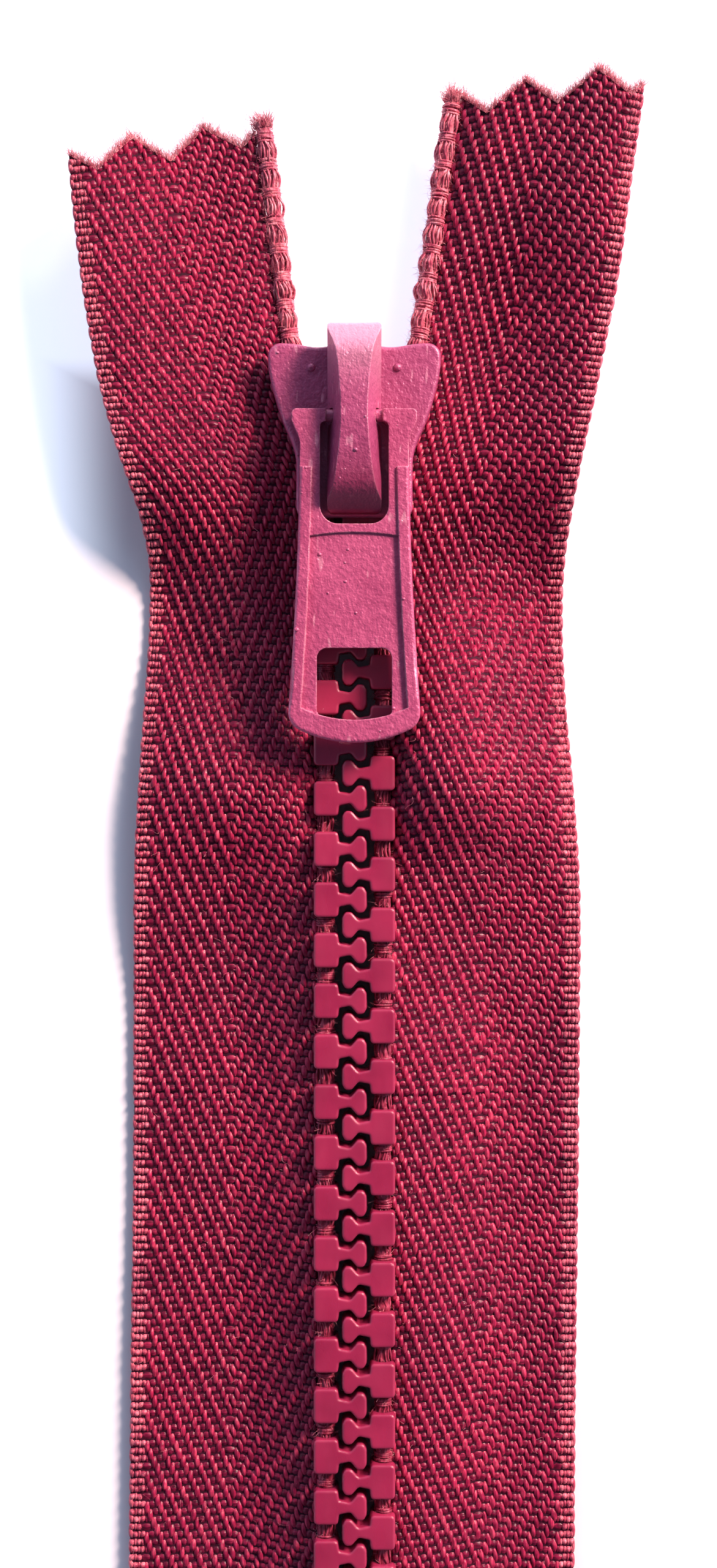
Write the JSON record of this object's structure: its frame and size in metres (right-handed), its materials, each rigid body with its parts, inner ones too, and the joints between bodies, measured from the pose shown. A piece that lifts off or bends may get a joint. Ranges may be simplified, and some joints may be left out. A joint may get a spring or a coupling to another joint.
{
  "type": "zipper",
  "caption": "Closed-end moulded-tooth zipper on woven tape, with an auto-lock slider near its top end and a windowed pull tab.",
  "frame": {"origin": "centre of the zipper's footprint, at the height of the slider's lower face", "axes": "+Y along the chain towards the top ends and the slider, +Z out of the front face, +X to the right"},
  "size_m": [0.043, 0.1886, 0.0086],
  "materials": {
    "tape": "woven polyester twill",
    "cord": "wrapped polyester yarn",
    "teeth": "satin moulded acetal",
    "slider": "satin paint on zinc",
    "pull": "satin paint on zinc",
    "spring": "bare spring steel"
  },
  "bodies": {
    "closed_end": {"bottom_stop": "teeth", "left_tooth_01": "teeth", "right_tooth_01": "teeth", "tape_left_bottom": "tape", "tape_right_bottom": "tape", "cord_left_bottom": "cord", "cord_right_bottom": "cord"},
    "left_lower": {"left_teeth_02_03": "teeth", "left_teeth_04_05": "teeth", "left_teeth_06_07": "teeth", "tape_left_lower": "tape", "cord_left_lower": "cord"},
    "right_lower": {"right_teeth_02_03": "teeth", "right_teeth_04_05": "teeth", "right_teeth_06_07": "teeth", "tape_right_lower": "tape", "cord_right_lower": "cord"},
    "left_upper": {"left_teeth_08_09": "teeth", "left_teeth_10_11": "teeth", "left_teeth_12_13": "teeth", "left_teeth_14_15": "teeth", "left_teeth_16_17": "teeth", "left_teeth_18_19": "teeth", "left_teeth_20_21": "teeth", "left_teeth_22_23": "teeth", "left_teeth_24_25": "teeth", "left_teeth_26_27": "teeth", "left_teeth_28_29": "teeth", "left_teeth_30_31": "teeth", "left_teeth_32_33": "teeth", "left_teeth_34_35": "teeth", "left_teeth_36_37": "teeth", "left_top_stop": "teeth", "tape_left_upper": "tape", "cord_left_upper": "cord"},
    "right_upper": {"right_teeth_08_09": "teeth", "right_teeth_10_11": "teeth", "right_teeth_12_13": "teeth", "right_teeth_14_15": "teeth", "right_teeth_16_17": "teeth", "right_teeth_18_19": "teeth", "right_teeth_20_21": "teeth", "right_teeth_22_23": "teeth", "right_teeth_24_25": "teeth", "right_teeth_26_27": "teeth", "right_teeth_28_29": "teeth", "right_teeth_30_31": "teeth", "right_teeth_32_33": "teeth", "right_teeth_34_35": "teeth", "right_teeth_36_37": "teeth", "right_top_stop": "teeth", "tape_right_upper": "tape", "cord_right_upper": "cord"},
    "slider": {"slider_body": "slider", "slider_cover": "slider", "lock_spring": "spring"},
    "pull_tab": {"pull_tab": "pull"}
  },
  "joints": [
    {"name": "slider_travel", "type": "slide", "parent": "closed_end", "child": "slider", "axis": [0, -1, 0], "range_m": [0, 0.132], "deforming": ["left_tooth_01", "right_tooth_01", "tape_left_bottom", "tape_right_bottom", "cord_left_bottom", "cord_right_bottom", "left_teeth_02_03", "left_teeth_04_05", "left_teeth_06_07", "tape_left_lower", "cord_left_lower", "right_teeth_02_03", "right_teeth_04_05", "right_teeth_06_07", "tape_right_lower", "cord_right_lower", "left_teeth_08_09", "left_teeth_10_11", "left_teeth_12_13", "left_teeth_14_15", "left_teeth_16_17", "left_teeth_18_19", "left_teeth_20_21", "left_teeth_22_23", "left_teeth_24_25", "left_teeth_26_27", "left_teeth_28_29", "left_teeth_30_31", "left_teeth_32_33", "left_teeth_34_35", "left_teeth_36_37", "left_top_stop", "tape_left_upper", "cord_left_upper", "right_teeth_08_09", "right_teeth_10_11", "right_teeth_12_13", "right_teeth_14_15", "right_teeth_16_17", "right_teeth_18_19", "right_teeth_20_21", "right_teeth_22_23", "right_teeth_24_25", "right_teeth_26_27", "right_teeth_28_29", "right_teeth_30_31", "right_teeth_32_33", "right_teeth_34_35", "right_teeth_36_37", "right_top_stop", "tape_right_upper", "cord_right_upper"]},
    {"name": "left_lower_open", "type": "hinge", "parent": "closed_end", "child": "left_lower", "pos_m": [-0.0021, -0.06662, 0.00255], "axis": [0, 0, 1], "range_deg": [0, 15]},
    {"name": "left_upper_open", "type": "hinge", "parent": "left_lower", "child": "left_upper", "pos_m": [-0.0021, -0.04454, 0.00255], "axis": [0, 0, -1], "range_deg": [0, 6.5]},
    {"name": "right_lower_open", "type": "hinge", "parent": "closed_end", "child": "right_lower", "pos_m": [0.0021, -0.06478, 0.00255], "axis": [0, 0, -1], "range_deg": [0, 15]},
    {"name": "right_upper_open", "type": "hinge", "parent": "right_lower", "child": "right_upper", "pos_m": [0.0021, -0.0427, 0.00255], "axis": [0, 0, 1], "range_deg": [0, 6.5]},
    {"name": "pull_flip", "type": "hinge", "parent": "slider", "child": "pull_tab", "pos_m": [0, 0.06935, 0.00613], "axis": [-1, 0, 0], "range_deg": [0, 170], "deforming": ["lock_spring"]}
  ],
  "couplings": [
    {"joint": "left_lower_open", "follows": "slider_travel", "rad_per_m": 1.9813},
    {"joint": "left_upper_open", "follows": "slider_travel", "rad_per_m": 0.85858},
    {"joint": "right_lower_open", "follows": "slider_travel", "rad_per_m": 1.9813},
    {"joint": "right_upper_open", "follows": "slider_travel", "rad_per_m": 0.85858}
  ]
}
